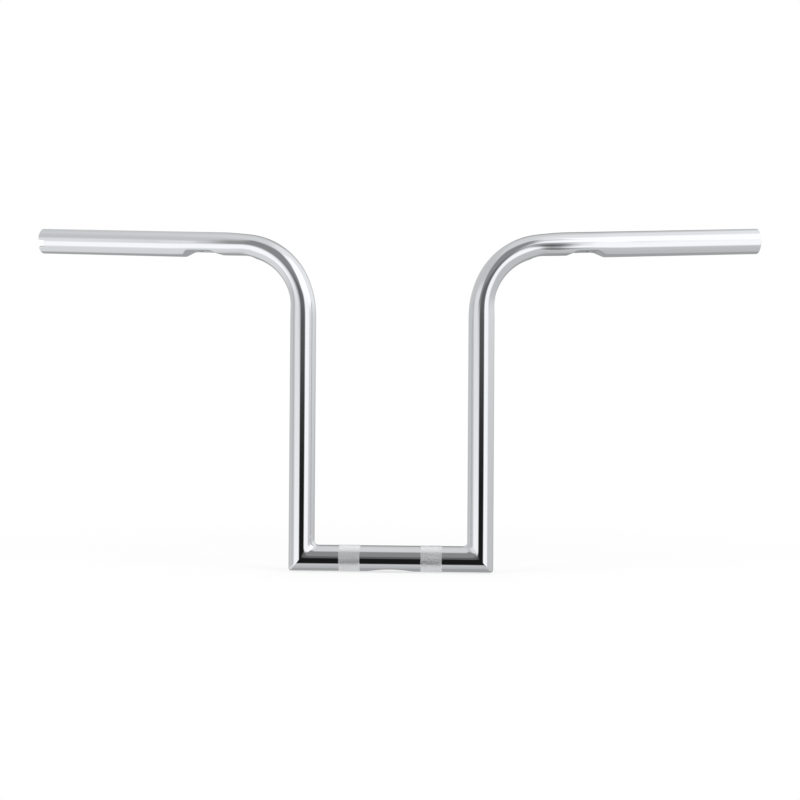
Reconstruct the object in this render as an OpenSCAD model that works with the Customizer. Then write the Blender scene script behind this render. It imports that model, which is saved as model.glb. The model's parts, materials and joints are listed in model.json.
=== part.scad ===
// Ape hanger handlebar: two bent riser tubes mitred and welded to a straight clamp tube.
// Millimetres. The origin is the middle of the clamp tube's axis.
// +Z runs up the risers, +Y towards the rider, +X to the clutch side.

/* [Tube] */
// Outside diameter of every tube, where grips and controls seat
tube_d = 25.4; // [22:0.1:32]
// Wall thickness of every tube
tube_wall = 3.05; // [2:0.05:4]
// Bevel on the rim of each open grip end
rim_bevel = 0.5; // [0.2:0.1:0.8]

/* [Layout] */
// Distance between the two riser axes
riser_spacing = 175; // [165:1:260]
// Height from the clamp tube's axis to where riser and grip axes cross
rise = 305; // [180:1:450]
// Centreline radius of the upper bends
bend_radius = 64; // [55:1:80]
// Straight length of each grip, from the end of its bend to the open end
grip_straight = 221; // [195:1:260]
// Angle by which the grips sweep back towards the rider
pull_back = 12; // [0:1:30]
// Angle by which the grips climb towards their ends
grip_climb = 2.5; // [0:0.5:10]

/* [Clamp bands] */
// Distance between the middles of the two knurled bands
band_spacing = 80; // [72:1:90]
// Length of each knurled band
band_length = 21; // [15:1:24]
// Height of the knurled bands above the tube
band_raise = 0.35; // [0.15:0.05:0.6]

/* [Wire passages] */
// Length of the oval wire hole under the clamp tube
clamp_hole_length = 47; // [30:1:48]
// Width of the oval wire hole under the clamp tube
clamp_hole_width = 14.5; // [8:0.5:17]
// Depth of the pressed wire relief under each grip
relief_depth = 5.7; // [3:0.1:6.5]
// Length of the level floor of the relief
relief_floor = 16; // [12:1:22]
// Distance from the end of the bend to the middle of the relief
relief_offset = 42; // [40:1:60]
// Radius of the arcs that lead into the relief
relief_arc = 30; // [20:1:40]
// Depth of the flattened stretch from the relief to the bend
flat_depth = 2.6; // [1:0.1:2.9]
// Length of the oval wire hole in the relief
grip_hole_length = 15; // [9:0.5:16]
// Width of the oval wire hole in the relief
grip_hole_width = 8.5; // [6:0.5:9]

/* [Throttle notch] */
// Width of the sensor notch in the throttle end
notch_width = 6.6; // [4:0.1:10]
// Depth of the sensor notch along the tube
notch_depth = 5.4; // [3:0.1:10]
// How far the notch is turned down from the front of the tube
notch_turn = 9; // [0:1:30]

/* [Corner welds] */
// Radius of the ground weld in each inner corner
weld_radius = 4; // [2:0.5:8]
// Length ground off the tip of each outer corner
corner_grind = 1.1; // [0.4:0.1:2]

/* [Hidden] */
$fn = 96;

tube_r = tube_d / 2;
bore_r = tube_r - tube_wall;
half_spacing = riser_spacing / 2;
turn = 90 - grip_climb;                      // angle through which each bend turns
tangent = bend_radius * tan(turn / 2);       // from the crossing of the axes to each end of the bend
grip_end = tangent + grip_straight;          // from the crossing of the axes to the open end
riser_top = rise - tangent;
draw = 0.2;                                  // radius lost where the tube is pressed and bent
seam = 0.02;                                 // small difference that keeps two stretches of wall apart
bend_lap = 0.4;                              // angle by which the bend laps into each straight stretch
relief_mid = tangent + relief_offset;
inner_arc = relief_arc + tube_wall;          // radius of the relief's end arcs inside the tube
relief_run = sqrt(pow(inner_arc, 2) - pow(inner_arc - relief_depth, 2));
seat_gap = 1;                                // round tube left between the relief and the grip's seat
seat_start = relief_mid + relief_floor / 2 + relief_run + seat_gap;
relief_low = -tube_r + relief_depth;         // height of the relief's floor over the grip's axis
flat_low = -tube_r + flat_depth;             // height of the flattened stretch over the grip's axis
past = 1;                                    // how far a cutter runs past what it cuts
reach = 3 * tube_d;                          // size of the blocks that trim the tubes
mitre = 45;
tip_r = sqrt(2) * tube_r - corner_grind;     // distance from the mitre's middle to the ground tip
weld_gap = 0.03;                             // keeps the weld's facets clear of the round tubes
weld_rows = 28;                              // steps across the weld
weld_arc = 8;                                // steps round the weld's hollow
weld_sweep = 80;                             // half angle covered by the weld round the corner

// Solid of the tube's path from below the mitre to the open end, with radius r.
// The riser stands on the local Z axis and the axes cross at height rise.
// The tube tapers from the grip's seat to the bend, which pressing and bending have drawn down a
// little, so the bend laps into the straight stretches.
module path(r, beyond = 0) {
    translate([0, 0, -reach])
        cylinder(r = r, h = reach + riser_top);
    translate([bend_radius, 0, riser_top])
        rotate([90, 0, 0])
            rotate_extrude(angle = turn + 2 * bend_lap, start = 180 - turn - bend_lap)
                translate([bend_radius, 0])
                    circle(r = r - draw - seam);
    along_grip()
        rotate([0, 90, 0]) {
            translate([0, 0, tangent])
                cylinder(r1 = r - draw, r2 = r - seam, h = seat_start - tangent + seat_gap / 2);
            translate([0, 0, seat_start])
                cylinder(r = r, h = grip_end + beyond - seat_start);
        }
}

// Places its children with +X along the grip's axis, measured from the crossing of the axes
module along_grip() {
    translate([0, 0, rise])
        rotate([0, -grip_climb, 0])
            children();
}

// A roller lying across the grip, with its axis at x and z
module across_grip(x, z, r) {
    translate([x, 0, z])
        rotate([90, 0, 0])
            cylinder(r = r, h = reach, center = true);
}

// The space pressed in under the grip. Grown by the wall, it gives the same form inside the tube.
module relief(grow = 0) {
    floor_z = relief_low + grow;
    flat_z = flat_low + grow;
    in_end = relief_mid - relief_floor / 2;
    out_end = relief_mid + relief_floor / 2;
    along_grip() {
        translate([in_end, -reach / 2, floor_z - reach])
            cube([relief_floor, reach, reach]);
        for (x = [in_end, out_end])
            across_grip(x, relief_low - relief_arc, relief_arc + grow);
        translate([tangent, -reach / 2, flat_z - reach / 2])
            cube([in_end - tangent, reach, reach / 2]);
        across_grip(tangent, flat_low - bend_radius + tube_r, bend_radius - tube_r + grow);
    }
}

// An upright oval hole, with round ends
module oval_hole(length, width, depth) {
    span = length - width;
    translate([-span / 2, -width / 2, 0])
        cube([span, width, depth]);
    for (x = [-span / 2, span / 2])
        translate([x, 0, 0])
            cylinder(d = width, h = depth);
}

// Bevels the outside and the inside of the open end
module end_rim() {
    along_grip()
        translate([grip_end, 0, 0])
            rotate([0, 90, 0]) {
                difference() {
                    translate([0, 0, -rim_bevel])
                        cylinder(r = tube_r + past, h = rim_bevel + past);
                    translate([0, 0, -rim_bevel])
                        cylinder(r1 = tube_r, r2 = tube_r - rim_bevel - past, h = rim_bevel + past);
                }
                translate([0, 0, -rim_bevel])
                    cylinder(r1 = bore_r, r2 = bore_r + rim_bevel + past, h = rim_bevel + past);
            }
}

// Everything outside the ground tip of the outer corner
module ground_tip() {
    difference() {
        translate([0, -reach / 2, -reach])
            cube([reach, reach, reach]);
        sphere(r = tip_r);
    }
}

// A bent riser tube in its local frame: mitre at the foot, bend, wire relief and open grip end
module riser_tube() {
    difference() {
        rotate([0, 0, pull_back])
            difference() {
                path(tube_r);
                relief();
                difference() {
                    path(bore_r, past);
                    relief(tube_wall);
                }
                along_grip()
                    translate([relief_mid, 0, -reach])
                        oval_hole(grip_hole_length, grip_hole_width, reach);
                end_rim();
            }
        rotate([0, mitre, 0])
            translate([-reach, -reach, -2 * reach])
                cube([2 * reach, 2 * reach, 2 * reach]);
        ground_tip();
    }
}

// The notch that holds the throttle sensor's key, cut in the front wall of the open end
module throttle_notch() {
    rotate([0, 0, pull_back])
        along_grip()
            rotate([notch_turn, 0, 0])
                translate([grip_end - notch_depth, -tube_d, -notch_width / 2])
                    cube([notch_depth + past, tube_d, notch_width]);
}

// A raised band round the clamp tube, with bevelled edges
module knurled_band() {
    flat = band_length - 2 * band_raise;
    for (end = [0, 1])
        mirror([end, 0, 0])
            translate([flat / 2, 0, 0])
                rotate([0, 90, 0])
                    cylinder(r1 = tube_r + band_raise, r2 = tube_r, h = band_raise);
    rotate([0, 90, 0])
        cylinder(r = tube_r + band_raise, h = flat, center = true);
}

// Points of one slice through the weld, where s is the angle round the corner.
// The hollow is the path of a ball that rolls along both tubes, so it fades out at the sides.
function weld_slice(s) =
    let (
        ball = weld_radius,
        seat = tube_r + weld_gap,
        far = (seat + ball) * cos(s),
        side = (seat + ball) * sin(s),
        k = seat / (seat + ball),
        down = -[0, sin(s), cos(s)],
        inward = -[cos(s), sin(s), 0],
        open = acos(down * inward)
    )
    concat(
        [[far * k, side * k, far * k]],
        [for (i = [0 : weld_arc])
            let (a = open * i / weld_arc)
            [far, side, far]
                + ball * (down * sin(open - a) + inward * sin(a)) / sin(open)]
    );

// The ground weld in the inner corner, between the foot of a riser and the clamp tube
module corner_weld() {
    ring = weld_arc + 2;
    rows = [for (i = [0 : weld_rows]) weld_slice(weld_sweep * (2 * i / weld_rows - 1))];
    points = [for (row = rows) for (p = row) p];
    skin = [for (i = [0 : weld_rows - 1]) for (j = [0 : ring - 1])
        let (n = (j + 1) % ring)
        [i * ring + j, i * ring + n, (i + 1) * ring + n, (i + 1) * ring + j]];
    split = [for (q = skin) each [[q[0], q[1], q[2]], [q[0], q[2], q[3]]]];
    first = [for (j = [ring - 1 : -1 : 0]) j];
    last = [for (j = [0 : ring - 1]) weld_rows * ring + j];
    polyhedron(points = points, faces = concat(split, [first, last]));
}

// Places its children at a corner, with local +X pointing outwards
module at_corner(side) {
    mirror([side < 0 ? 1 : 0, 0, 0])
        translate([half_spacing, 0, 0])
            children();
}

module clamp_tube() {
    color("silver")
    difference() {
        union() {
            rotate([0, 90, 0])
                cylinder(r = tube_r, h = riser_spacing + 2 * tube_d, center = true);
            for (x = [-band_spacing / 2, band_spacing / 2])
                translate([x, 0, 0])
                    knurled_band();
        }
        rotate([0, 90, 0])
            cylinder(r = bore_r, h = riser_spacing + 4 * tube_d, center = true);
        translate([0, 0, -reach])
            oval_hole(clamp_hole_length, clamp_hole_width, reach);
        for (side = [-1, 1])
            at_corner(side) {
                rotate([0, mitre, 0])
                    translate([-reach, -reach, 0])
                        cube([2 * reach, 2 * reach, 2 * reach]);
                ground_tip();
            }
    }
}

module throttle_side_tube() {
    color("gainsboro")
    at_corner(-1)
        difference() {
            riser_tube();
            throttle_notch();
        }
}

module clutch_side_tube() {
    color("lightgray")
    at_corner(1)
        riser_tube();
}

module throttle_side_weld() {
    color("darkgray")
    at_corner(-1)
        mirror([1, 0, 0])
            corner_weld();
}

module clutch_side_weld() {
    color("darkgray")
    at_corner(1)
        mirror([1, 0, 0])
            corner_weld();
}

clamp_tube();
throttle_side_tube();
clutch_side_tube();
throttle_side_weld();
clutch_side_weld();
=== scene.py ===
import json
import math

import bpy
import numpy as np
from mathutils import Matrix, Vector

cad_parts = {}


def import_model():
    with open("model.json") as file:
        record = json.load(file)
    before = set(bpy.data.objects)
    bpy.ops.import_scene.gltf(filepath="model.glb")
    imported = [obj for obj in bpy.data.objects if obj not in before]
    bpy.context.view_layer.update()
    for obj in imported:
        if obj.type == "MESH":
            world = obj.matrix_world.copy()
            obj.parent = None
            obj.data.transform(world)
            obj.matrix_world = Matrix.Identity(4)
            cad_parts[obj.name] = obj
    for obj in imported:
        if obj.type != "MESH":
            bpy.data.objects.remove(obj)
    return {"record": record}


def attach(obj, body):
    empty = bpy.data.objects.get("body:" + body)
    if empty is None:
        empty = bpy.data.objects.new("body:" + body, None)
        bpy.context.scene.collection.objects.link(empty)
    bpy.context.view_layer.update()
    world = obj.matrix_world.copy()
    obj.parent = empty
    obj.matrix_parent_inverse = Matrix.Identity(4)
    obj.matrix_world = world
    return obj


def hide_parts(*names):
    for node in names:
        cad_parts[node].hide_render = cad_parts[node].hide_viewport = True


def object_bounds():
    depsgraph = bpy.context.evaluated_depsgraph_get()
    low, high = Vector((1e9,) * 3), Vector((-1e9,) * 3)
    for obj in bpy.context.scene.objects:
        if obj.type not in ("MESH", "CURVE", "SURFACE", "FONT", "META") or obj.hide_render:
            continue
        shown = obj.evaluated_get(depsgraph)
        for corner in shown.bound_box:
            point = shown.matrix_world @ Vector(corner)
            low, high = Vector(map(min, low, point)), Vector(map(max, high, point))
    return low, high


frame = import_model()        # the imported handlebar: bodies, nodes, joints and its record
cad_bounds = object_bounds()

# Sizes are in millimetres and angles in degrees, up to where a mesh is made from them. The floor, the
# lamps and the camera's reach are in metres
MM = 0.001

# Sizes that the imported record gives
MOUNTS = {m["name"]: m for m in frame["record"]["mounts"]}
SEAT = MOUNTS["clutch_side_grip_seat"]
SHY = 0.04               # keeps the skins a hair inside the solids
TUBE_R = SEAT["dims"]["r_mm"] - SHY
BORE_R = MOUNTS["clutch_side_end_bore"]["dims"]["r_mm"]
WALL = TUBE_R - BORE_R
SEAT_AXIS = np.array(SEAT["axis"])
SEAT_MIDDLE = np.array(SEAT["pos_m"]) / MM
CROSSING = SEAT_MIDDLE - SEAT_AXIS * SEAT_MIDDLE[1] / SEAT_AXIS[1]
HALF_SPACING = CROSSING[0]
RISE = CROSSING[2]
SWEEP = math.degrees(math.atan2(SEAT_AXIS[1], SEAT_AXIS[0]))
CLIMB = math.degrees(math.asin(SEAT_AXIS[2]))
BAND_MIDDLE = MOUNTS["clutch_side_band"]["pos_m"][0] / MM
BAND_LENGTH = MOUNTS["clutch_side_band"]["dims"]["length_mm"]
KNURL_TOP_R = MOUNTS["clutch_side_band"]["dims"]["r_mm"]

# The open end
RIM_ROUND = 0.5          # rounding of the rim's edges
RIM_LENGTH = 14          # length of tube whose mesh follows the rim
GRIP_END = np.linalg.norm(SEAT_MIDDLE - CROSSING) + SEAT["dims"]["length_mm"] / 2 + RIM_ROUND - SHY

# The upper bend, where bending draws the tube to an oval
BEND_RADIUS = 64
BEND_EASE = 9            # half the length over which the bend takes up its radius
TURN = 90 - CLIMB
OVAL_OUTSIDE = 1.4       # how far the outside of the bend is drawn in
OVAL_INSIDE = 1.2        # how far the inside of the bend is drawn in
OVAL_FADE = 26           # length over which the oval fades into the straight tube

# The pressed wire relief under each grip
RELIEF_OFFSET = 42       # from the end of the bend to the relief's middle
RELIEF_DEPTH = 5.9
RELIEF_FLOOR = 7.5       # from the relief's middle to where the step towards the bend starts
RELIEF_END = 24          # from the relief's middle to where its ramp meets the grip
RELIEF_RAMP = 16         # length of the ramp towards the grip
THROTTLE_RAMP = 11       # the same on the throttle side, which is pressed more steeply
RELIEF_STEP = 11         # length of the step towards the bend
FLAT_DEPTH = 3.1         # depth of the flattened stretch between the bend and the relief
FLAT_FADE = 30           # length over which the flattened stretch fades inside the bend
FLAT_FULL = 4            # how far past the bend it reaches its depth
PRESS_ROUND = 1.5        # softness of the pressed edges
PRESS_SHALLOW = 2        # depth at which the pressed edges have their full softness
PRESS_BULGE = 1.5        # how far the sides stand out at the relief
BULGE_FADE = 50          # length over which they fade towards the grip
GRIP_HOLE = (15, 8.5)
CLAMP_HOLE = (47, 14.5)
EDGE_ROUND = 0.5         # rounding of the edges of the holes

# The throttle sensor's notch
NOTCH_WIDTH = 8.0
NOTCH_DEPTH = 6.6
NOTCH_TURN = 16          # how far below the tube's front its middle stands
NOTCH_INNER_ROUND = 1.3
NOTCH_OUTER_ROUND = 0.9
NOTCH_ZONE = 15.0        # length of rim on each side of its middle that is drawn into it

# The corners
CORNER_ROUND = 2.66      # rounding of the ground outer corner
WELD_RADIUS = 4
WELD_REACH = 88          # how far round the tubes the weld runs, from the middle of the inner corner
WELD_BLEND = 8           # length along each tube over which the grinding blends the inner corner

# The knurl
KNURL_SINK = 0.04        # how far the teeth's feet stand inside the tube's skin
KNURL_VALLEY_R = TUBE_R - KNURL_SINK
KNURL_ACROSS = 50        # diamonds round the tube
KNURL_ALONG = 13         # diamonds along the band
KNURL_FLAT = 0.26        # half width of a diamond's flat top, as a share of its pitch

# How the meshes are laid out
ROUND_POINTS = 192       # points round a tube
JOIN_CELL = 0.0004       # points that share a cell of this size become one
RISER_START = 26.0       # height at which the riser's foot hands over to its straight tube
CLAMP_END = 62.0         # distance from the middle at which the clamp tube hands over to its corners
BEND_LEAD = 6            # how far before the oval the bend's even stations start
BEND_MARGIN = 8          # how far past the bend they go
GRIP_START = BULGE_FADE + 2     # from the relief's middle to where the round grip starts
GRIP_WINDOW = (11, 60)   # half length, and angle to each side, of the gap that a hole's rings fill
CLAMP_WINDOW = (26, 52.5)

# A tube's two finishes, by their place in its list
PLATED, INSIDE = 0, 1


def smooth(edge0, edge1, x):
    """Eases from 0 at edge0 to 1 at edge1."""
    t = np.clip((x - edge0) / (edge1 - edge0), 0, 1)
    return t * t * t * (t * (6 * t - 15) + 10)


def cut_soft(x, limit, softness):
    """The smaller of x and limit, with the edge between them rounded."""
    near = np.maximum(softness - np.abs(x - limit), 0)
    return np.minimum(x, limit) - near * near / (4 * softness)


def unit(vectors):
    return vectors / np.linalg.norm(vectors, axis=-1, keepdims=True)


class Skin:
    """Gathers sheets of quads in millimetres, each with its own normals, into one closed mesh."""

    def __init__(self):
        self.points, self.normals, self.runs, self.quads, self.finishes = [], [], [], [], []
        self.count = 0

    def sheet(self, points, normals, finish=PLATED, around=True, runs=None, keep=None):
        """Adds rows of points.

        around joins the last column to the first, keep picks the quads, and runs gives each point's
        place along and round the tube, for the finishes that follow it.
        """
        rows, columns = points.shape[:2]
        grid = self.count + np.arange(rows * columns).reshape(rows, columns)
        after = np.roll(grid, -1, axis=1) if around else grid[:, 1:]
        before = grid if around else grid[:, :-1]
        quads = np.stack([before[:-1], after[:-1], after[1:], before[1:]], axis=-1)
        if keep is not None:
            quads = quads[keep]
        quads = quads.reshape(-1, 4)
        flat_points = points.reshape(-1, 3)
        flat_normals = unit(normals.reshape(-1, 3))
        corner = flat_points[quads - self.count]
        face = np.cross(corner[:, 2] - corner[:, 0], corner[:, 3] - corner[:, 1])
        facing = np.einsum("ij,ij->i", face, flat_normals[quads - self.count].mean(axis=1)).sum()
        if facing < 0:
            quads = quads[:, ::-1]
        if runs is None:
            runs = np.zeros((rows, columns, 2))
        self.points.append(flat_points)
        self.normals.append(flat_normals)
        self.runs.append(np.asarray(runs, float).reshape(-1, 2))
        self.quads.append(quads)
        self.finishes.append(np.full(len(quads), finish))
        self.count += rows * columns

    def mesh(self, name, flip=False):
        """The joined mesh. flip makes the mirror image for the throttle side."""
        points = np.concatenate(self.points)
        normals = np.concatenate(self.normals)
        runs = np.concatenate(self.runs)
        quads = np.concatenate(self.quads)
        finishes = np.concatenate(self.finishes)
        if flip:
            points = points * [-1, 1, 1]
            normals = normals * [-1, 1, 1]
            quads = quads[:, ::-1]
        cells = np.round(points / JOIN_CELL).astype(np.int64)
        _, first, joined = np.unique(cells, axis=0, return_index=True, return_inverse=True)
        joined = joined.reshape(-1)
        faces, slots, corners = [], [], []
        for quad, finish in zip(quads, finishes):
            seen, loop = [], []
            for index in quad:
                if joined[index] not in seen:
                    seen.append(int(joined[index]))
                    loop.append(index)
            if len(seen) > 2:
                faces.append(seen)
                slots.append(int(finish))
                corners.extend(loop)
        mesh = bpy.data.meshes.new(name)
        mesh.from_pydata((points[first] * MM).tolist(), [], faces)
        mesh.polygons.foreach_set("material_index", slots)
        layer = mesh.uv_layers.new(name="run_of_tube")
        layer.data.foreach_set("uv", (runs[corners] * MM).ravel())
        mesh.shade_smooth()
        mesh.normals_split_custom_set(normals[corners].tolist())
        mesh.update()
        return mesh


# The riser tube's centreline, in the upright plane of its bend: first out, then up

def centreline():
    """Distances along the tube, with the place, the heading and the curvature at each.

    The bend's start is moved until the grip's axis crosses the riser's at the height of the rise.
    """
    tangent = BEND_RADIUS * math.tan(math.radians(TURN / 2))
    bend_length = BEND_RADIUS * math.radians(TURN)
    climb = math.radians(CLIMB)
    step, spare, rounds = 0.02, 60, 3
    along = np.arange(0, RISE + GRIP_END + spare, step)
    start = RISE - tangent
    for _ in range(rounds):
        curve = smooth(start - BEND_EASE, start + BEND_EASE, along)
        curve = curve - smooth(start + bend_length - BEND_EASE, start + bend_length + BEND_EASE, along)
        curve = curve / BEND_RADIUS
        heading = np.concatenate([[0], np.cumsum((curve[1:] + curve[:-1]) / 2 * step)])
        out = np.concatenate([[0], np.cumsum(np.sin((heading[1:] + heading[:-1]) / 2) * step)])
        up = np.concatenate([[0], np.cumsum(np.cos((heading[1:] + heading[:-1]) / 2) * step)])
        wanted = RISE + out[-1] * math.tan(climb)
        start += wanted - up[-1]
    grip = out * math.cos(climb) + (up - RISE) * math.sin(climb)
    end = float(np.interp(GRIP_END, grip, along))
    bend_end = start + bend_length
    return along, out, up, heading, curve, start, bend_end, end


ALONG, OUT, UP, HEADING, CURVE, BEND_START, BEND_STOP, TUBE_END = centreline()
RELIEF_MIDDLE = BEND_STOP + RELIEF_OFFSET


def press_depth(s, ramp_length):
    """How deep the underside is pressed in at distance s."""
    t = s - RELIEF_MIDDLE
    ramp = 1 - smooth(RELIEF_END - ramp_length, RELIEF_END, t)
    step = 1 - smooth(RELIEF_FLOOR, RELIEF_FLOOR + RELIEF_STEP, -t)
    fade = smooth(BEND_STOP - FLAT_FADE, BEND_STOP + FLAT_FULL, s)
    level = FLAT_DEPTH * fade + (RELIEF_DEPTH - FLAT_DEPTH * fade) * step
    return np.where(t > 0, RELIEF_DEPTH * ramp, level)


def section(s, a, ramp_length):
    """The tube's section at distance s: how far inside the bend and how far back, at angle a."""
    bent = smooth(BEND_START - OVAL_FADE / 2, BEND_START + OVAL_FADE, s)
    bent = bent * (1 - smooth(BEND_STOP - OVAL_FADE / 2, BEND_STOP + OVAL_FADE, s))
    inside = 0.5 + 0.5 * np.cos(a)
    radius = TUBE_R - bent * (OVAL_OUTSIDE + (OVAL_INSIDE - OVAL_OUTSIDE) * inside)
    x = radius * np.cos(a)
    bulge = smooth(BEND_STOP - FLAT_FADE, RELIEF_MIDDLE, s)
    bulge = bulge * (1 - smooth(RELIEF_MIDDLE, RELIEF_MIDDLE + BULGE_FADE, s))
    y = (TUBE_R + PRESS_BULGE * bulge) * np.sin(a)
    depth = press_depth(s, ramp_length)
    limit = TUBE_R - depth + PRESS_ROUND * (1 - smooth(0, PRESS_SHALLOW, depth))
    return cut_soft(x, limit, PRESS_ROUND), y


def riser_skin(s, a, under=0.0, ramp=RELIEF_RAMP):
    """Points and normals of the riser tube at distance s and angle a.

    Angle 0 faces the inside of the bend, and under sets the points that far below the skin.
    """
    s, a = np.broadcast_arrays(np.asarray(s, float), np.asarray(a, float))
    x, y = section(s, a, ramp)
    small = 0.01
    ahead, behind = section(s + small, a, ramp), section(s - small, a, ramp)
    x_s, y_s = (ahead[0] - behind[0]) / (2 * small), (ahead[1] - behind[1]) / (2 * small)
    left, right = section(s, a + small, ramp), section(s, a - small, ramp)
    x_a, y_a = (left[0] - right[0]) / (2 * small), (left[1] - right[1]) / (2 * small)
    stretch = 1 - np.interp(s, ALONG, CURVE) * x
    n_t = -(x_s * y_a - y_s * x_a)
    n_i = stretch * y_a
    n_b = -stretch * x_a
    size = np.sqrt(n_t ** 2 + n_i ** 2 + n_b ** 2)
    n_t, n_i, n_b = n_t / size, n_i / size, n_b / size
    heading = np.interp(s, ALONG, HEADING)
    sin, cos = np.sin(heading), np.cos(heading)
    out = np.interp(s, ALONG, OUT) + cos * (x - under * n_i) - sin * under * n_t
    up = np.interp(s, ALONG, UP) - sin * (x - under * n_i) - cos * under * n_t
    back = y - under * n_b
    n_out, n_up = sin * n_t + cos * n_i, cos * n_t - sin * n_i
    return swept(out, back, up) + [HALF_SPACING, 0, 0], swept(n_out, n_b, n_up)


def swept(out, back, up):
    """Turns a place or direction in the bend's plane into the object's axes, for the clutch side."""
    sweep = math.radians(SWEEP)
    x = out * math.cos(sweep) - back * math.sin(sweep)
    y = out * math.sin(sweep) + back * math.cos(sweep)
    return np.stack([x, y, up], axis=-1)


def bore_skin(s, a, ramp=RELIEF_RAMP):
    """The same for the riser tube's bore."""
    points, normals = riser_skin(s, a, WALL, ramp)
    return points, -normals


def clamp_skin(x, a, radius=TUBE_R):
    """Points and normals of the clamp tube. Angle a is 0 underneath and grows towards the back."""
    x, a = np.broadcast_arrays(np.asarray(x, float), np.asarray(a, float))
    points = np.stack([x, radius * np.sin(a), -radius * np.cos(a)], axis=-1)
    return points, np.stack([0 * x, np.sin(a), -np.cos(a)], axis=-1)


def clamp_bore_skin(x, a):
    """The same for the clamp tube's bore."""
    points, normals = clamp_skin(x, a, BORE_R)
    return points, -normals


# Holes and edges

def oval(share, length, width, grow=0.0):
    """Points of an oval hole's outline, at shares of the way round from its outer end."""
    half, r = (length - width) / 2, width / 2
    quarter, side = math.pi * r / 2, 2 * half
    d = (share % 1) * (4 * quarter + 2 * side)
    marks = np.cumsum([quarter, side, 2 * quarter, side])
    parts = [d < mark for mark in marks]
    turn = np.select(
        parts,
        [d / r, np.pi / 2, np.pi / 2 + (d - marks[1]) / r, 1.5 * np.pi],
        1.5 * np.pi + (d - marks[3]) / r)
    middle = np.select(
        parts,
        [half, half - (d - marks[0]), -half, -half + (d - marks[2])],
        half)
    return middle + (r + grow) * np.cos(turn), (r + grow) * np.sin(turn)


def ellipse(share, length, width, grow=0.0):
    """The same for an ellipse."""
    turn = 2 * np.pi * share
    return (length / 2 + grow) * np.cos(turn), (width / 2 + grow) * np.sin(turn)


def angle_for(surface, s, across, sideways):
    """The angle at which the surface is that far out sideways from its axis, found by halving."""
    reach, rounds = math.radians(80), 45
    low, high = np.full(s.shape, -reach), np.full(s.shape, reach)
    for _ in range(rounds):
        middle = (low + high) / 2
        beyond = (surface(s, middle)[0] - [HALF_SPACING, 0, 0]) @ sideways > across
        high = np.where(beyond, middle, high)
        low = np.where(beyond, low, middle)
    return (low + high) / 2


def edge_roll(skin, on_face, edge, on_wall, finish=PLATED):
    """Rounds the edge between two surfaces, given three loops of points."""
    steps = 5
    t = np.linspace(0, 1, steps + 1)[:, None, None]
    points = (1 - t) ** 2 * on_face + 2 * t * (1 - t) * edge + t ** 2 * on_wall
    across = 2 * (1 - t) * (edge - on_face) + 2 * t * (on_wall - edge)
    around = np.roll(points, -1, axis=1) - np.roll(points, 1, axis=1)
    normals = unit(np.cross(across, around))
    if np.einsum("ij,ij->i", normals[steps // 2], edge - (on_face + on_wall) / 2).sum() < 0:
        normals = -normals
    skin.sheet(points, normals, finish)
    return normals


def holed_sheet(skin, surface, stations, angles, window, hole, finish):
    """A sheet round the tube with a window left out, and the window filled up to a hole by rings.

    Gives the shares of the way round the hole at which its points stand.
    """
    rings, slack = 8, 1e-6
    points, normals = surface(stations[:, None], angles[None, :])
    s_low, s_high, reach = window
    keep = np.ones((len(stations) - 1, len(angles)), bool)
    rows = (stations[:-1] >= s_low - slack) & (stations[1:] <= s_high + slack)
    next_angle = angles + (angles[1] - angles[0])
    columns = (angles >= -reach - slack) & (next_angle <= reach + slack)
    keep[np.ix_(rows, columns)] = False
    runs = np.stack(np.broadcast_arrays(stations[:, None], TUBE_R * angles[None, :]), axis=-1)
    skin.sheet(points, normals, finish, runs=runs, keep=keep)

    s_edge = stations[(stations >= s_low - slack) & (stations <= s_high + slack)]
    a_edge = angles[(angles >= -reach - slack) & (angles <= reach + slack)]
    middle_row = len(a_edge) // 2
    loop_s = np.concatenate([np.full(len(a_edge) - middle_row - 1, s_edge[-1]), s_edge[::-1][:-1],
                             np.full(len(a_edge) - 1, s_edge[0]), s_edge[:-1],
                             np.full(middle_row, s_edge[-1])])
    loop_a = np.concatenate([a_edge[middle_row:-1], np.full(len(s_edge) - 1, a_edge[-1]),
                             a_edge[::-1][:-1], np.full(len(s_edge) - 1, a_edge[0]),
                             a_edge[:middle_row]])
    gap = np.hypot(np.diff(loop_s, append=loop_s[0]), TUBE_R * np.diff(loop_a, append=loop_a[0]))
    share = np.concatenate([[0], np.cumsum(gap)[:-1]]) / gap.sum()
    hole_s, hole_a = hole(surface, share, EDGE_ROUND)
    t = np.linspace(0, 1, rings + 1)[:, None]
    ring_s, ring_a = loop_s * (1 - t) + hole_s * t, loop_a * (1 - t) + hole_a * t
    points, normals = surface(ring_s, ring_a)
    runs = np.stack([ring_s, TUBE_R * ring_a], axis=-1)
    skin.sheet(points, normals, finish, runs=runs)
    return share


def hole_wall(skin, outer, inner, hole, share):
    """The wall of a drilled hole, with both edges rounded, so that the two sheets are joined."""
    def loop(surface, grow):
        s, a = hole(surface, share, grow)
        return surface(s, a)[0]
    outside, inside = loop(outer, 0), loop(inner, 0)
    through = unit(inside - outside)
    upper, lower = outside + EDGE_ROUND * through, inside - EDGE_ROUND * through
    edge_roll(skin, loop(outer, EDGE_ROUND), outside, upper)
    around = np.roll(outside, -1, axis=0) - np.roll(outside, 1, axis=0)
    normals = unit(np.cross(around, through))
    centre = outside.mean(axis=0)
    if np.einsum("ij,ij->i", normals, centre - outside).sum() < 0:
        normals = -normals
    skin.sheet(np.stack([upper, lower]), np.stack([normals, normals]), INSIDE)
    edge_roll(skin, loop(inner, EDGE_ROUND), inside, lower, INSIDE)


def grip_hole(surface, share, grow):
    """The wire hole in the relief, as distances along the tube and angles."""
    u, v = oval(share, *GRIP_HOLE, grow)
    s = RELIEF_MIDDLE + u
    return s, angle_for(surface, s, v, swept(0.0, 1.0, 0.0))


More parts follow.
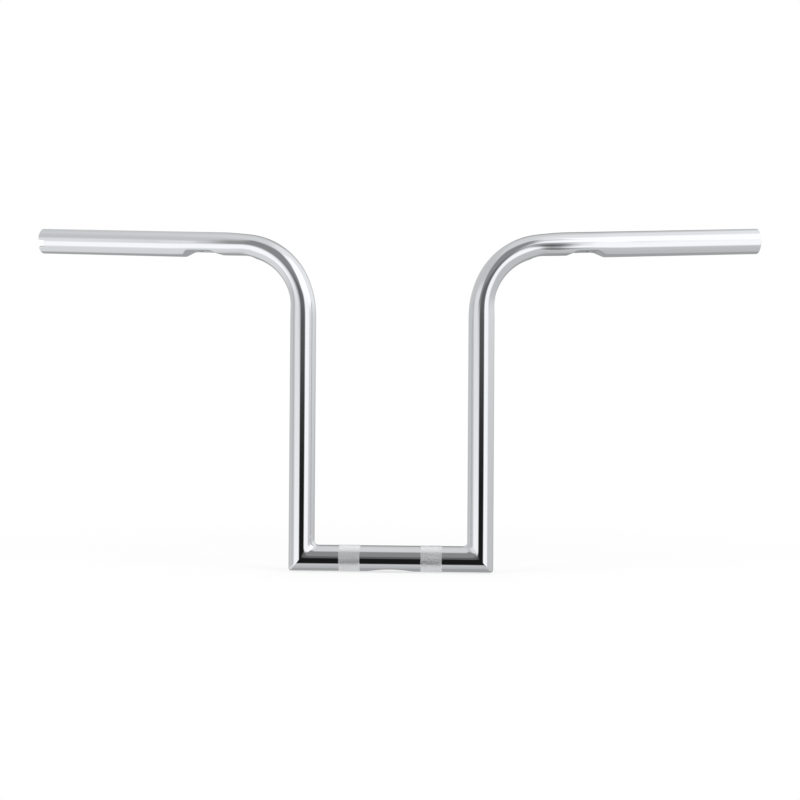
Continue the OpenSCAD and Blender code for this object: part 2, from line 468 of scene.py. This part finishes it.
def clamp_hole(surface, share, grow):
    """The wire hole under the clamp tube, whose ends narrow as an ellipse's do."""
    u, v = ellipse(share, *CLAMP_HOLE, grow)
    return u, angle_for(surface, u, v, np.array([0.0, 1.0, 0.0]))


# The open end

def rim_outline(angles, notched, grow):
    """The rim as distances from the end and angles. grow moves it into the metal."""
    inset = np.zeros(len(angles)) + grow
    turned = angles.copy()
    if notched:
        middle = math.radians(-90 + NOTCH_TURN)
        w = TUBE_R * (angles - middle)
        near = np.abs(w) <= NOTCH_ZONE
        half, r_in, r_out = NOTCH_WIDTH / 2, NOTCH_INNER_ROUND, NOTCH_OUTER_ROUND
        lengths = [NOTCH_ZONE - half - r_out, r_out * math.pi / 2, NOTCH_DEPTH - r_in - r_out,
                   r_in * math.pi / 2, half - r_in]
        marks = np.concatenate([[0], np.cumsum(lengths)])
        d = marks[-1] * (1 - np.abs(w[near]) / NOTCH_ZONE)
        parts = [d < mark for mark in marks[1:5]]
        turn = np.select(parts, [0 * d, (d - marks[1]) / r_out, 0 * d + np.pi / 2,
                                 np.pi / 2 - (d - marks[3]) / r_in], 0)
        part = np.select(parts, [0, 1, 2, 3], 4)
        aside = np.choose(part, [NOTCH_ZONE - d, half + r_out - r_out * np.sin(turn), half + 0 * d,
                                 half - r_in + r_in * np.sin(turn), marks[-1] - d])
        deep = np.choose(part, [0 * d, r_out - r_out * np.cos(turn), r_out + d - marks[2],
                                NOTCH_DEPTH - r_in + r_in * np.cos(turn), NOTCH_DEPTH + 0 * d])
        aside = aside + grow * np.sin(turn)
        deep = deep + grow * np.cos(turn)
        inset[near] = deep
        turned[near] = middle + np.sign(w[near]) * aside / TUBE_R
    return inset, turned


def open_end(skin, angles, notched, ring):
    """The tube's rim, from the ring of the outer skin over the edge to the ring of the bore."""
    def strip(surface, finish):
        rows = 9
        inset, turned = rim_outline(angles, notched, RIM_ROUND)
        t = np.linspace(0, 1, rows)[:, None]
        s = ring * (1 - t) + (TUBE_END - inset) * t
        a = angles * (1 - t) + turned * t
        points, normals = surface(s, a)
        skin.sheet(points, normals, finish, runs=np.stack([s, TUBE_R * a], axis=-1))
        return points[-1]
    face = strip(riser_skin, PLATED)
    inner_face = strip(bore_skin, INSIDE)
    inset, turned = rim_outline(angles, notched, 0)
    edge, normal = riser_skin(TUBE_END - inset, turned)
    inner_edge = edge - WALL * normal
    upper, lower = edge - RIM_ROUND * normal, inner_edge + RIM_ROUND * normal
    rows = edge_roll(skin, face, edge, upper)
    edge_roll(skin, inner_face, inner_edge, lower)
    skin.sheet(np.stack([upper, lower]), np.stack([rows[-1], rows[-1]]))


# The corners, where the riser tubes meet the clamp tube

def blended(own, other, part):
    """Turns one direction part of the way to another, all of unit length."""
    between = np.arccos(np.clip((own * other).sum(axis=-1), -1, 1))[..., None]
    part = np.asarray(part)[..., None]
    way = own * np.sin((1 - part) * between) + other * np.sin(part * between)
    return np.where(between > 1e-4, way / np.maximum(np.sin(between), 1e-9), own)


def ground_share(along):
    """How far grinding has turned a tube's surface towards its neighbour's, beside the mitre."""
    return 0.5 * np.clip(1 - along / WELD_BLEND, 0, 1) ** 2


def corner_loops(angles, tube):
    """The foot of a tube at its corner, where angle 0 faces the outer corner.

    Gives the loops from the tube's own skin to the mitre, with their normals. The outer half ends in
    a rounded edge, and the inner half is blended by the grinding of the weld.
    """
    cos, sin = np.cos(angles), np.sin(angles)
    zero = 0 * cos
    ball = TUBE_R - CORNER_ROUND
    riser_way, clamp_way = np.stack([cos, sin, zero], axis=-1), np.stack([zero, sin, -cos], axis=-1)
    if tube == "riser":
        own, other, away = riser_way, clamp_way, np.array([0, 0, 1.0])
    else:
        own, other, away = clamp_way, riser_way, np.array([-1.0, 0, 0])
    centre = np.stack([ball * cos, ball * sin, -ball * cos], axis=-1)
    inner = np.stack([TUBE_R * cos, TUBE_R * sin, -TUBE_R * cos], axis=-1)
    outside = (cos > 0)[:, None]
    foot = np.where(outside, centre + CORNER_ROUND * own, inner)
    blend_loops, round_loops = 12, 6
    loops, normals = [], []
    for along in np.linspace(WELD_BLEND, 0, blend_loops + 1)[:-1]:
        loops.append(foot + along * away)
        normals.append(np.where(outside, own, blended(own, other, ground_share(along + zero))))
    middle = blended(own, other, 0.5 + zero)
    for part in np.linspace(0, 0.5, round_loops):
        way = blended(own, other, part + zero)
        loops.append(np.where(outside, centre + CORNER_ROUND * way, inner))
        normals.append(np.where(outside, way, middle))
    return np.array(loops), np.array(normals)


def fit_corner(skin, tube, side, angles, skin_end, bore_end):
    """Carries a tube's end on to its corner, outside and in the bore, and closes it at the mitre."""
    place = [side * HALF_SPACING, 0, 0]
    loops, normals = corner_loops(angles, tube)
    loops = loops * [side, 1, 1] + place
    skin.sheet(loops, normals * [side, 1, 1])
    points, outward = skin_end
    skin.sheet(np.stack([points, loops[0]]), np.stack([outward, outward]))
    bore = BORE_R * np.stack([np.cos(angles), np.sin(angles), -np.cos(angles)], axis=-1)
    bore = bore * [side, 1, 1] + place
    points, inward = bore_end
    skin.sheet(np.stack([points, bore]), np.stack([inward, inward]), INSIDE)
    facing = [-side, 0, -1.0] if tube == "riser" else [side, 0, 1.0]
    mitre = np.broadcast_to(unit(np.array(facing)), bore.shape)
    skin.sheet(np.stack([loops[-1], bore]), np.stack([mitre, mitre]), INSIDE)


def stations_from(low, step, before, after):
    """Distances along the bend, a step apart, then along the relief: before, in and after its window."""
    through = 23
    half = GRIP_WINDOW[0]
    top = BEND_STOP + BEND_MARGIN
    return np.concatenate([np.arange(low, top, step),
                           np.linspace(top, RELIEF_MIDDLE - half, before),
                           np.linspace(RELIEF_MIDDLE - half, RELIEF_MIDDLE + half, through)[1:],
                           np.linspace(RELIEF_MIDDLE + half, RELIEF_MIDDLE + GRIP_START, after)[1:]])


def riser_tube(name, throttle):
    """One bent tube: foot, bend, pressed relief, seat and open end, with its bore."""
    skin = Skin()
    ramp = THROTTLE_RAMP if throttle else RELIEF_RAMP

    def outer(s, a):
        return riser_skin(s, a, ramp=ramp)

    def inner(s, a):
        return bore_skin(s, a, ramp)

    angles = np.linspace(-math.pi, math.pi, ROUND_POINTS, endpoint=False)
    bend_low = BEND_START - OVAL_FADE / 2 - BEND_LEAD
    ring = TUBE_END - RIM_LENGTH
    half, reach = GRIP_WINDOW
    window = (RELIEF_MIDDLE - half, RELIEF_MIDDLE + half, math.radians(reach))
    fine, coarse = stations_from(bend_low, 1.5, 20, 30), stations_from(bend_low, 4.5, 10, 12)
    share = holed_sheet(skin, outer, fine, angles, window, grip_hole, PLATED)
    holed_sheet(skin, inner, coarse, angles, window, grip_hole, INSIDE)
    hole_wall(skin, outer, inner, grip_hole, share)
    for surface, finish in ((riser_skin, PLATED), (bore_skin, INSIDE)):
        for ends in ((RISER_START, bend_low), (RELIEF_MIDDLE + GRIP_START, ring)):
            s = np.array(ends)[:, None]
            points, normals = surface(s, angles[None, :])
            runs = np.stack(np.broadcast_arrays(s, TUBE_R * angles[None, :]), axis=-1)
            skin.sheet(points, normals, finish, runs=runs)
    open_end(skin, angles, throttle, ring)
    foot = np.full(ROUND_POINTS, RISER_START)
    fit_corner(skin, "riser", 1, angles + math.radians(SWEEP), riser_skin(foot, angles),
               bore_skin(foot, angles))
    return skin.mesh(name, flip=throttle)


def clamp_tube(name):
    """The straight tube between the risers, with its mitres and the wire hole underneath."""
    skin = Skin()
    half, reach = CLAMP_WINDOW
    rows = 36
    angles = np.linspace(-math.pi, math.pi, ROUND_POINTS, endpoint=False)
    stations = np.concatenate([[-CLAMP_END], np.linspace(-half, half, rows), [CLAMP_END]])
    window = (-half, half, math.radians(reach))
    share = holed_sheet(skin, clamp_skin, stations, angles, window, clamp_hole, PLATED)
    holed_sheet(skin, clamp_bore_skin, stations, angles, window, clamp_hole, INSIDE)
    hole_wall(skin, clamp_skin, clamp_bore_skin, clamp_hole, share)
    for side in (-1, 1):
        end = np.full(ROUND_POINTS, side * CLAMP_END)
        fit_corner(skin, "clamp", side, angles, clamp_skin(end, angles), clamp_bore_skin(end, angles))
    return skin.mesh(name)


def corner_weld(name, throttle):
    """The ground weld, hollow as if a ball had rolled along both tubes."""
    skin = Skin()
    stations, strips = 89, 17
    angles = np.radians(np.linspace(-WELD_REACH, WELD_REACH, stations))
    cos, sin = np.cos(angles), np.sin(angles)
    ball = TUBE_R + WELD_RADIUS
    place = np.array([HALF_SPACING, 0, 0])
    centre = np.stack([-ball * cos, ball * sin, ball * cos], axis=-1)
    to_riser = np.stack([cos, -sin, 0 * cos], axis=-1)
    to_clamp = np.stack([0 * cos, -sin, -cos], axis=-1)
    lead = ground_share(WELD_RADIUS * cos)
    columns, normals = [], []
    for part in np.linspace(0, 1, strips):
        columns.append(centre + WELD_RADIUS * blended(to_riser, to_clamp, part + 0 * cos))
        normals.append(-blended(to_riser, to_clamp, lead + (1 - 2 * lead) * part))
    rows = np.stack(columns, axis=1) + place
    skin.sheet(rows, np.stack(normals, axis=1), around=False)
    root = np.stack([-TUBE_R * cos, TUBE_R * sin, TUBE_R * cos], axis=-1) + place
    under = unit(np.array([1.0, 0, -1.0]))
    for edge in (rows[:, 0], rows[:, -1]):
        sheet = np.stack([edge, root])
        skin.sheet(sheet, np.broadcast_to(under, sheet.shape), around=False)
    for end, tip in ((0, [0, -1.0, 0]), (-1, [0, 1.0, 0])):
        sheet = np.stack([rows[end], np.broadcast_to(root[end], rows[end].shape)])
        skin.sheet(sheet, np.broadcast_to(tip, sheet.shape), around=False)
    return skin.mesh(name, flip=throttle)


# Nodes and finishes

def add(tree, kind, settings=None, links=None):
    """Adds a node with its settings and its inputs, each a value or the socket that feeds it."""
    node = tree.nodes.new(kind)
    for key, value in (settings or {}).items():
        setattr(node, key, value)
    for key, value in (links or {}).items():
        socket = node.inputs[key]
        if isinstance(value, bpy.types.NodeSocket):
            tree.links.new(value, socket)
        else:
            socket.default_value = value
    return node


def linear(hex_colour):
    """An sRGB hex colour as linear light."""
    parts = [int(hex_colour[i:i + 2], 16) / 255 for i in (1, 3, 5)]
    parts = [p / 12.92 if p <= 0.04045 else ((p + 0.055) / 1.055) ** 2.4 for p in parts]
    return (*parts, 1.0)


def new_material(name):
    material = bpy.data.materials.new(name)
    material.use_nodes = True
    material.node_tree.nodes.clear()
    return material, material.node_tree


def chrome(name, colour, roughness, waves_mm, wave_height, haze):
    """Bright nickel and chrome plate on steel.

    The plate mirrors the room. waves_mm and wave_height are the length and height in millimetres of
    the waves that polishing leaves, and haze is how much rougher the plate gets in its cloudy places.
    """
    clouds_mm = 16.67
    material, tree = new_material(name)
    where = add(tree, "ShaderNodeTexCoord").outputs["Object"]
    waves = add(tree, "ShaderNodeTexNoise", {},
                {"Vector": where, "Scale": 1 / (waves_mm * MM), "Detail": 2.0})
    bump = add(tree, "ShaderNodeBump", {},
               {"Height": waves.outputs["Fac"], "Strength": 1.0, "Distance": wave_height * MM})
    clouds = add(tree, "ShaderNodeTexNoise", {},
                 {"Vector": where, "Scale": 1 / (clouds_mm * MM), "Detail": 4.0})
    dull = add(tree, "ShaderNodeMapRange", {},
               {"Value": clouds.outputs["Fac"], "From Min": 0.35, "From Max": 0.75,
                "To Min": roughness, "To Max": roughness + haze})
    shader = add(tree, "ShaderNodeBsdfPrincipled", {},
                 {"Base Color": linear(colour), "Metallic": 1.0, "Roughness": dull.outputs["Result"],
                  "Normal": bump.outputs["Normal"]})
    add(tree, "ShaderNodeOutputMaterial", {}, {"Surface": shader.outputs["BSDF"]})
    return material


def satin_bore():
    """Steel tube inside, under a thin flash of nickel.

    It gives the eye a grey satin, mottled by marks that are longer round the tube than along it, and
    that are too fine to be told apart in the render.
    """
    mark_mm, mark_stretch, mark_depth = 1.11, 20.0, 0.02
    material, tree = new_material("satin_steel_bore")
    run = add(tree, "ShaderNodeUVMap", {"uv_map": "run_of_tube"})
    stretch = add(tree, "ShaderNodeMapping", {},
                  {"Vector": run.outputs["UV"], "Scale": (mark_stretch, 1.0, 1.0)})
    marks = add(tree, "ShaderNodeTexNoise", {},
                {"Vector": stretch.outputs["Vector"], "Scale": 1 / (mark_mm * MM), "Detail": 3.0})
    bump = add(tree, "ShaderNodeBump", {}, {"Height": marks.outputs["Fac"], "Distance": mark_depth * MM})
    tone = add(tree, "ShaderNodeMix", {"data_type": "RGBA"},
               {"Factor": marks.outputs["Fac"], "A": linear("#6F6C68"), "B": linear("#A8A5A0")})
    shader = add(tree, "ShaderNodeBsdfPrincipled", {},
                 {"Base Color": tone.outputs["Result"], "Metallic": 1.0, "Roughness": 0.42,
                  "Normal": bump.outputs["Normal"]})
    add(tree, "ShaderNodeOutputMaterial", {}, {"Surface": shader.outputs["BSDF"]})
    return material


# Chrome on machine-polished tube: a clear mirror, whose long reflections waver only a little
POLISHED = chrome("polished_chrome", "#E3E5E8", roughness=0.035, waves_mm=26, wave_height=0.05,
                  haze=0.03)
# Chrome on a weld ground by hand: the same mirror with shorter, higher waves, so that it looks softer
GROUND = chrome("chrome_over_ground_weld", "#E3E5E8", roughness=0.05, waves_mm=9, wave_height=0.12,
                haze=0.04)
# Chrome on the knurl's cut teeth: a pale satin that shows the teeth rather than the room
KNURLED = chrome("knurled_chrome", "#F8F9FA", roughness=0.27, waves_mm=6, wave_height=0.02, haze=0.06)
BORE = satin_bore()


def piece(name, mesh, finishes, nodes=()):
    """Places a finished mesh on the bar's one body, for the CAD nodes that it stands for."""
    item = bpy.data.objects.new(name, mesh)
    bpy.context.scene.collection.objects.link(item)
    for finish in finishes:
        mesh.materials.append(finish)
    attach(item, "root")
    if nodes:
        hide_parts(*nodes)


# The knurl

def knurl_tree():
    """Diamonds on a cylinder, in rows that stand half a pitch apart, each with a small flat top."""
    tree = bpy.data.node_groups.new("diamond_knurl", "GeometryNodeTree")
    sockets = (("Length", "NodeSocketFloat"), ("Valley Radius", "NodeSocketFloat"),
               ("Tooth Height", "NodeSocketFloat"), ("Along", "NodeSocketInt"),
               ("Across", "NodeSocketInt"), ("Middle", "NodeSocketFloat"), ("Flat", "NodeSocketFloat"))
    for label, kind in sockets:
        tree.interface.new_socket(label, in_out="INPUT", socket_type=kind)
    tree.interface.new_socket("Geometry", in_out="OUTPUT", socket_type="NodeSocketGeometry")
    given = add(tree, "NodeGroupInput").outputs
    known = {label: given[label] for label, _ in sockets}
    known["Tooth"] = add(tree, "GeometryNodeInputIndex").outputs["Index"]

    # The sums, each with its result, operation and two inputs. Teeth are counted round and round the
    # band. A row has one for each diamond across, and every second row is shifted half a pitch
    sums = (
        ("Pitch Along", "DIVIDE", "Length", "Along"),
        ("Half Pitch", "DIVIDE", "Pitch Along", 2.0),
        ("Rows", "MULTIPLY", "Along", 2.0),
        ("Teeth", "MULTIPLY", "Rows", "Across"),
        ("Rounds", "DIVIDE", "Tooth", "Across"),
        ("Row", "FLOOR", "Rounds", 0.0),
        ("Column", "MODULO", "Tooth", "Across"),
        ("Odd Row", "MODULO", "Row", 2.0),
        ("Shift", "MULTIPLY", "Odd Row", 0.5),
        ("Place", "ADD", "Column", "Shift"),
        ("Full Turns", "MULTIPLY", "Place", 2 * math.pi),
        ("Turn", "DIVIDE", "Full Turns", "Across"),
        ("Lean", "MULTIPLY", "Turn", -1.0),
        ("Half Length", "DIVIDE", "Length", 2.0),
        ("Start", "SUBTRACT", "Middle", "Half Length"),
        ("Row Middle", "ADD", "Row", 0.5),
        ("Into Band", "MULTIPLY", "Row Middle", "Half Pitch"),
        ("X", "ADD", "Start", "Into Band"),
        ("Sine", "SINE", "Turn", 0.0),
        ("Y", "MULTIPLY", "Valley Radius", "Sine"),
        ("Cosine", "COSINE", "Turn", 0.0),
        ("Z", "MULTIPLY", "Valley Radius", "Cosine"),
        ("Girth", "MULTIPLY", "Valley Radius", 2 * math.pi),
        ("Pitch Across", "DIVIDE", "Girth", "Across"),
    )
    for result, operation, first, second in sums:
        known[result] = add(tree, "ShaderNodeMath", {"operation": operation},
                            {0: known.get(first, first), 1: known.get(second, second)}).outputs[0]

    points = add(tree, "GeometryNodeMeshLine", {"mode": "OFFSET"}, {"Count": known["Teeth"]})
    spot = add(tree, "ShaderNodeCombineXYZ", {}, {"X": known["X"], "Y": known["Y"], "Z": known["Z"]})
    placed = add(tree, "GeometryNodeSetPosition", {},
                 {"Geometry": points.outputs["Mesh"], "Position": spot.outputs[0]})
    tooth = add(tree, "GeometryNodeMeshCone", {"fill_type": "TRIANGLE_FAN"},
                {"Vertices": 4, "Radius Top": given["Flat"], "Radius Bottom": 0.5, "Depth": 1.0})
    size = add(tree, "ShaderNodeCombineXYZ", {},
               {"X": known["Pitch Along"], "Y": known["Pitch Across"], "Z": given["Tooth Height"]})
    lean = add(tree, "ShaderNodeCombineXYZ", {}, {"X": known["Lean"]})
    teeth = add(tree, "GeometryNodeInstanceOnPoints", {},
                {"Points": placed.outputs["Geometry"], "Instance": tooth.outputs["Mesh"],
                 "Rotation": lean.outputs[0], "Scale": size.outputs[0]})
    real = add(tree, "GeometryNodeRealizeInstances", {}, {"Geometry": teeth.outputs["Instances"]})
    plated = add(tree, "GeometryNodeSetMaterial", {},
                 {"Geometry": real.outputs["Geometry"], "Material": KNURLED})
    add(tree, "NodeGroupOutput", {}, {"Geometry": plated.outputs["Geometry"]})
    return tree


def knurled_band(name, middle, tree):
    """One band of diamond knurl, made by the tree and then kept as a plain mesh."""
    blank = bpy.data.objects.new(name + "_blank", bpy.data.meshes.new(name + "_blank"))
    bpy.context.scene.collection.objects.link(blank)
    modifier = blank.modifiers.new("knurl", "NODES")
    modifier.node_group = tree
    values = {"Length": BAND_LENGTH * MM, "Valley Radius": KNURL_VALLEY_R * MM,
              "Tooth Height": (KNURL_TOP_R - KNURL_VALLEY_R - SHY) * MM, "Along": KNURL_ALONG,
              "Across": KNURL_ACROSS, "Middle": middle * MM, "Flat": KNURL_FLAT}
    for item in tree.interface.items_tree:
        if item.in_out == "INPUT":
            modifier[item.identifier] = values[item.name]
    graph = bpy.context.evaluated_depsgraph_get()
    mesh = bpy.data.meshes.new_from_object(blank.evaluated_get(graph), depsgraph=graph)
    bpy.data.objects.remove(blank)
    mesh.name = name
    piece(name, mesh, [])


# Camera, floor, world and lamps

def camera():
    """The camera, from where it sees the bar's origin and how far it is turned from straight ahead."""
    right, distance, up = -9.225, 1500.0, -154.921
    yaw, pitch, roll = (math.radians(v) for v in (-2.983, -0.715, 0.365))
    focal_pixels, image_pixels, sensor = 1534.3, 800, 36.0
    turn = Matrix.Rotation(roll, 3, "Y") @ Matrix.Rotation(pitch, 3, "X") @ Matrix.Rotation(yaw, 3, "Z")
    place = -(turn.transposed() @ Vector((right, distance, up)))
    lens = bpy.data.cameras.new("camera")
    lens.sensor_width = sensor
    lens.lens = focal_pixels * sensor / image_pixels
    lens.clip_start, lens.clip_end = 0.05, 60
    item = bpy.data.objects.new("camera", lens)
    bpy.context.scene.collection.objects.link(item)
    axes = Matrix((turn[0], turn[2], -turn[1])).transposed()
    item.matrix_world = Matrix.Translation(place * MM) @ axes.to_4x4()
    bpy.context.scene.camera = item


# What stands round the bar for the chrome to mirror, each over those before it: name, middle and half
# width in degrees round it from the front, middle and half height in degrees above level, how softly
# its edges fade in degrees, and brightness
STUDIO = (
    ("ceiling", 0, 200, 90, 28, 30, 0.80),
    ("right_upper_wall", 88, 62, 42, 38, 24, 0.98),
    ("right_lower_wall", 110, 60, -42, 34, 20, 0.64),
    ("left_floor_bounce", -85, 62, -46, 34, 18, 0.84),
    ("floor_below", 0, 200, -90, 22, 18, 0.58),
    ("back_floor", 180, 40, -50, 48, 30, 0.42),
    ("back_gap", 180, 11, 14, 26, 12, 0.30),
    ("left_glow", -50, 26, 12, 15, 16, 0.90),
    ("left_stand", -86, 11, 3, 9, 12, 0.58),
    ("left_softbox", -40, 25, -20, 19, 14, 1.20),
    ("right_softbox", 61, 31, 36, 26, 10, 1.27),
    ("right_softbox_end", 27, 8, 30, 11, 4, 1.27),
    ("right_low_softbox", 38, 13, -12, 22, 14, 1.20),
    ("right_side_softbox", 50, 13, 3, 14, 12, 1.16),
    ("front_upper_gap", -7, 26, 34, 28, 12, 0.30),
    ("front_middle_gap", 3, 20, 6, 12, 12, 0.15),
    ("front_right_low_gap", 22, 11, -44, 10, 10, 0.22),
    ("front_lower_gap", 4, 21, -23, 25, 10, 0.012),
)
STUDIO_WALLS = 0.67      # brightness where nothing stands
FLOOR_LIGHT = 0.8        # the even light that falls on what isn't a mirror, such as the floor


def world():
    """White for the camera, even light on the floor, and a studio for the chrome to mirror."""
    room = bpy.data.worlds.new("studio")
    bpy.context.scene.world = room
    room.use_nodes = True
    tree = room.node_tree
    tree.nodes.clear()
    ray = add(tree, "ShaderNodeTexCoord").outputs["Generated"]
    axes = add(tree, "ShaderNodeSeparateXYZ", {}, {0: ray}).outputs
    front = add(tree, "ShaderNodeMath", {"operation": "MULTIPLY"}, {0: axes["Y"], 1: -1.0}).outputs[0]
    around = add(tree, "ShaderNodeMath", {"operation": "ARCTAN2"}, {0: axes["X"], 1: front}).outputs[0]
    above = add(tree, "ShaderNodeMath", {"operation": "ARCSINE"}, {0: axes["Z"]}).outputs[0]

    light = STUDIO_WALLS
    for _, side, half_width, level, half_height, soft, bright in STUDIO:
        inside = []
        for angle, middle, half in ((around, side, half_width), (above, level, half_height)):
            off = add(tree, "ShaderNodeMath", {"operation": "SUBTRACT"},
                      {0: angle, 1: math.radians(middle)}).outputs[0]
            off = add(tree, "ShaderNodeMath", {"operation": "WRAP"},
                      {0: off, 1: math.pi, 2: -math.pi}).outputs[0]
            off = add(tree, "ShaderNodeMath", {"operation": "ABSOLUTE"}, {0: off}).outputs[0]
            within = add(tree, "ShaderNodeMapRange", {"interpolation_type": "SMOOTHSTEP"},
                         {"Value": off, "From Min": math.radians(half + soft / 2),
                          "From Max": math.radians(half - soft / 2)})
            inside.append(within.outputs["Result"])
        cover = add(tree, "ShaderNodeMath", {"operation": "MULTIPLY"}, {0: inside[0], 1: inside[1]})
        light = add(tree, "ShaderNodeMix", {"data_type": "FLOAT"},
                    {"Factor": cover.outputs[0], "A": light, "B": bright}).outputs["Result"]

    path = add(tree, "ShaderNodeLightPath").outputs
    mirrored = add(tree, "ShaderNodeMix", {"data_type": "FLOAT"},
                   {"Factor": path["Is Glossy Ray"], "A": FLOOR_LIGHT, "B": light}).outputs["Result"]
    seen = add(tree, "ShaderNodeMix", {"data_type": "FLOAT"},
               {"Factor": path["Is Camera Ray"], "A": mirrored, "B": 1.0}).outputs["Result"]
    glow = add(tree, "ShaderNodeBackground", {}, {"Color": (1, 1, 1, 1), "Strength": seen})
    add(tree, "ShaderNodeOutputWorld", {}, {"Surface": glow.outputs[0]})


def floor():
    """White paper floor under the bar. It keeps the bar's soft shadow and turns plain white far off."""
    size, gap = 8.0, 0.0002
    fade_start, fade_end, least_glow = 0.25, 0.9, 0.72
    z = cad_bounds[0][2] - gap
    corners = [(-size, -size, z), (size, -size, z), (size, size, z), (-size, size, z)]
    mesh = bpy.data.meshes.new("floor")
    mesh.from_pydata(corners, [], [(0, 1, 2, 3)])
    item = bpy.data.objects.new("floor", mesh)
    bpy.context.scene.collection.objects.link(item)
    material, tree = new_material("white_paper_floor")
    paper = add(tree, "ShaderNodeBsdfDiffuse", {}, {"Color": linear("#F6F6F6")})
    glow = add(tree, "ShaderNodeEmission", {}, {"Color": (1, 1, 1, 1), "Strength": 1.0})
    where = add(tree, "ShaderNodeTexCoord").outputs["Object"]
    far = add(tree, "ShaderNodeVectorMath", {"operation": "LENGTH"}, {0: where}).outputs["Value"]
    fade = add(tree, "ShaderNodeMapRange", {"interpolation_type": "SMOOTHSTEP"},
               {"Value": far, "From Min": fade_start, "From Max": fade_end,
                "To Min": least_glow, "To Max": 1.0}).outputs["Result"]
    path = add(tree, "ShaderNodeLightPath").outputs
    shown = add(tree, "ShaderNodeMath", {"operation": "MAXIMUM"},
                {0: path["Is Camera Ray"], 1: path["Is Glossy Ray"]}).outputs[0]
    share = add(tree, "ShaderNodeMath", {"operation": "MULTIPLY"}, {0: shown, 1: fade}).outputs[0]
    both = add(tree, "ShaderNodeMixShader", {}, {0: share, 1: paper.outputs[0], 2: glow.outputs[0]})
    add(tree, "ShaderNodeOutputMaterial", {}, {"Surface": both.outputs[0]})
    mesh.materials.append(material)
    item.visible_glossy = False


def lamp(name, place):
    """A soft box that faces the bar and that the chrome doesn't mirror."""
    width, power, target = 1.4, 22, Vector((0, 0, 0.15))
    data = bpy.data.lights.new(name, "AREA")
    data.shape = "RECTANGLE"
    data.size, data.size_y = width, width
    data.energy = power
    item = bpy.data.objects.new(name, data)
    bpy.context.scene.collection.objects.link(item)
    item.location = place
    item.rotation_euler = (target - Vector(place)).to_track_quat("-Z", "Y").to_euler()
    item.visible_glossy = False
    item.visible_camera = False


def studio():
    """What the bar is seen in."""
    camera()
    world()
    floor()
    lamp("left_lamp", (-1.8, -1.6, 2.0))
    lamp("right_lamp", (1.8, -1.4, 2.0))
    bpy.context.scene.view_settings.view_transform = "Standard"


def handlebar():
    """The bar's seven pieces."""
    tube = [POLISHED, BORE]
    piece("clamp_tube_skin", clamp_tube("clamp_tube_skin"), tube, ["clamp_tube"])
    for side in ("clutch_side", "throttle_side"):
        throttle = side == "throttle_side"
        name = side + "_tube_skin"
        piece(name, riser_tube(name, throttle), tube, [side + "_tube"])
        name = side + "_weld_skin"
        piece(name, corner_weld(name, throttle), [GROUND], [side + "_weld"])
    tree = knurl_tree()
    knurled_band("throttle_side_knurl", -BAND_MIDDLE, tree)
    knurled_band("clutch_side_knurl", BAND_MIDDLE, tree)


handlebar()
studio()
